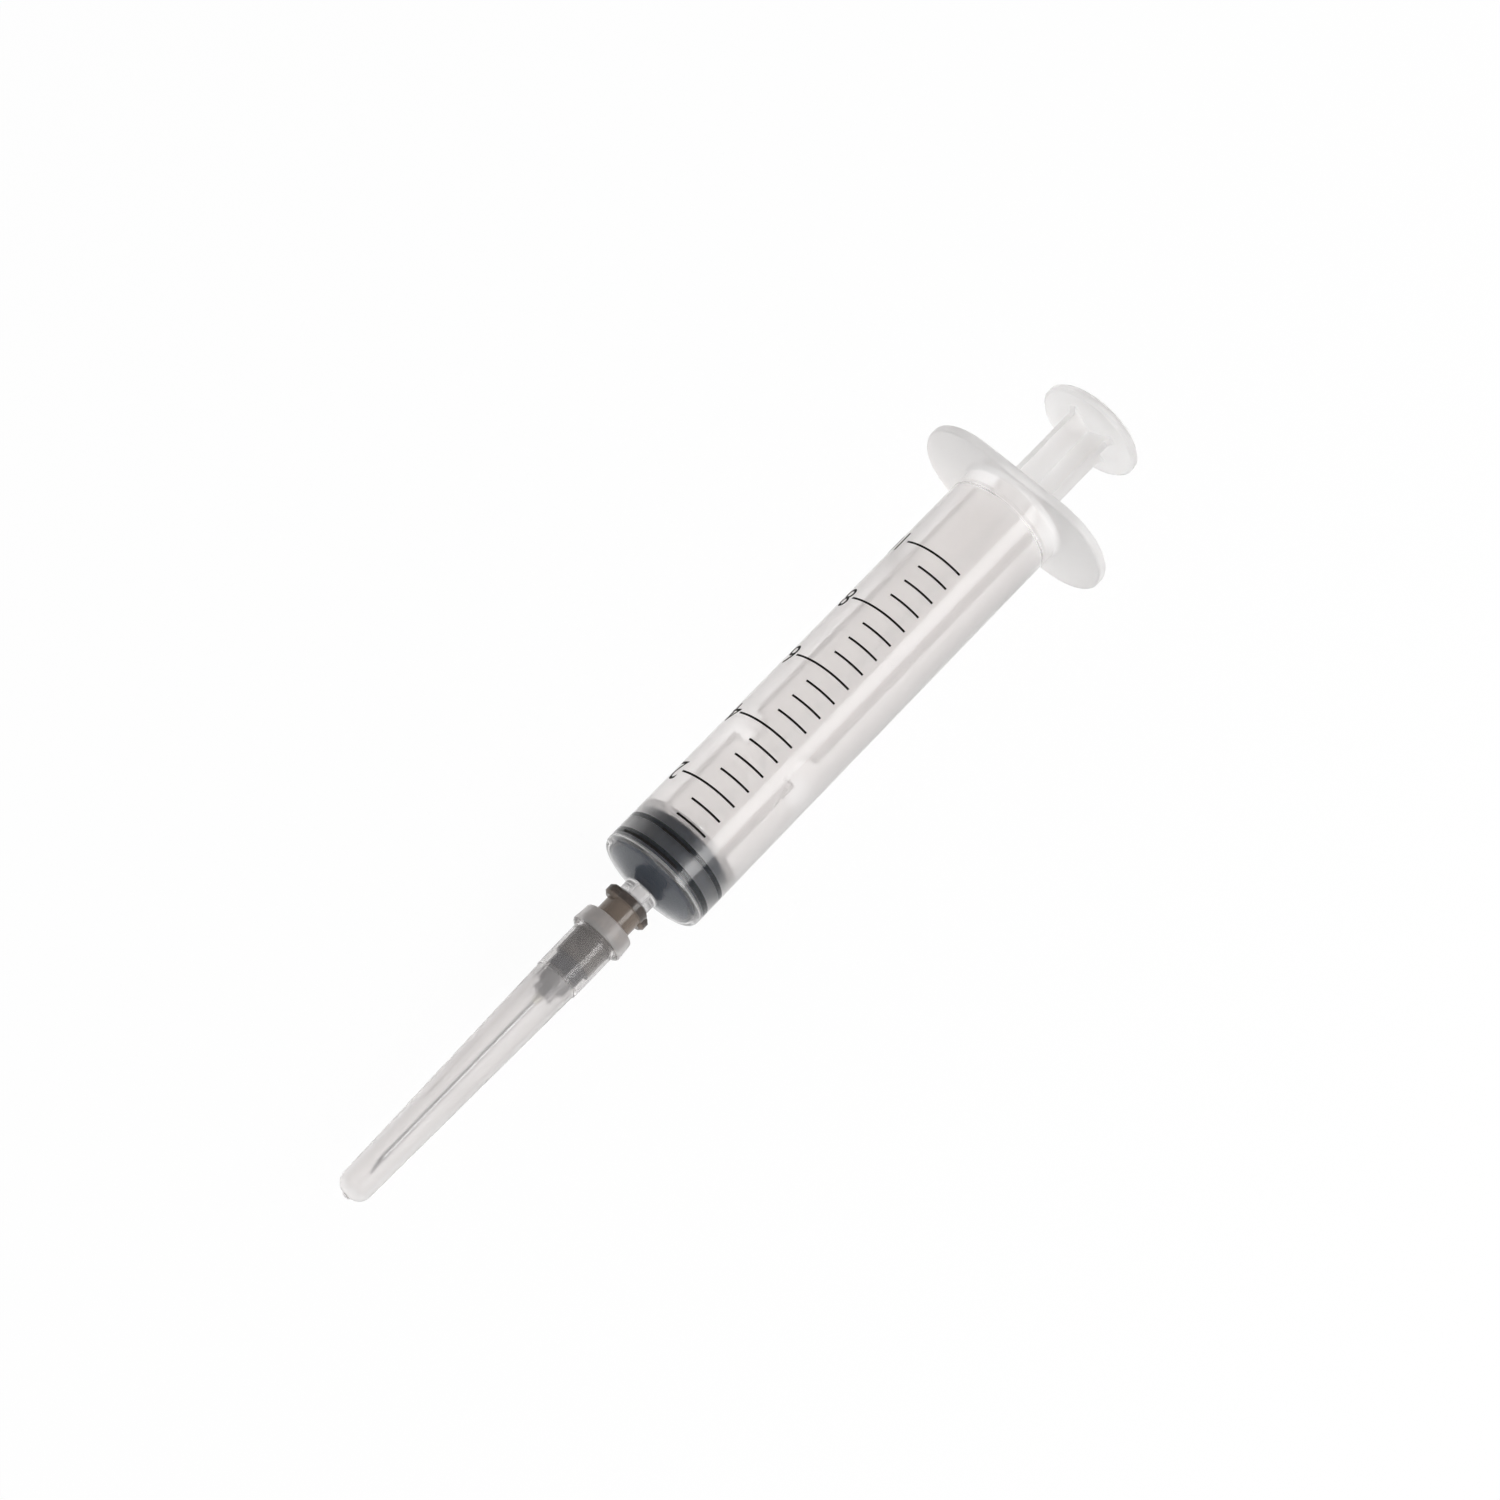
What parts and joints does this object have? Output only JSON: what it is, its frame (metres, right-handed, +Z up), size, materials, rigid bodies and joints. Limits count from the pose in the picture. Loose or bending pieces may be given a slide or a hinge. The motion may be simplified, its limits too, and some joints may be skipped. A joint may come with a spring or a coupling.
{
  "type": "syringe with needle",
  "caption": "Three-part plastic syringe with a graduated clear barrel, black rubber stopper, cross-ribbed plunger rod, finger flange and a capped Luer slip needle.",
  "frame": {"origin": "centre of the bounding box, on the surface that the syringe lies on", "axes": "+X along the syringe from the needle's cap to the thumb disc, +Z up, the barrel's axis rising 0.9 degrees towards the thumb disc"},
  "size_m": [0.1528, 0.0318, 0.019],
  "materials": {
    "barrel_plastic": "clear moulded polypropylene with a black printed scale",
    "stopper_rubber": "smooth black moulded elastomer, wet with silicone",
    "rod_plastic": "translucent natural polypropylene",
    "hub_plastic": "smoky black translucent polypropylene",
    "needle_steel": "drawn and electropolished stainless steel",
    "cured_glue": "clear cured adhesive",
    "cap_plastic": "clear moulded polypropylene"
  },
  "bodies": {
    "barrel": {"barrel": "barrel_plastic"},
    "stopper": {"stopper": "stopper_rubber"},
    "plunger": {"plunger_rod": "rod_plastic"},
    "needle": {"needle_hub": "hub_plastic", "cannula": "needle_steel", "adhesive_bead": "cured_glue"},
    "cap": {"needle_cap": "cap_plastic"}
  },
  "joints": [
    {"name": "plunger_slide", "type": "slide", "parent": "barrel", "child": "stopper", "axis": [0.9999, 0, 0.0159], "range_m": [0, 0.064]},
    {"name": "rod_spin", "type": "hinge", "parent": "stopper", "child": "plunger", "pos_m": [-0.01394, 0, 0.00835], "axis": [0.9999, 0, 0.0159], "continuous": true},
    {"name": "needle_pull", "type": "slide", "parent": "barrel", "child": "needle", "axis": [-0.9999, 0, -0.0159], "range_m": [0, 0.015]},
    {"name": "cap_pull", "type": "slide", "parent": "needle", "child": "cap", "axis": [-0.9999, 0, -0.0159], "range_m": [0, 0.05]}
  ]
}
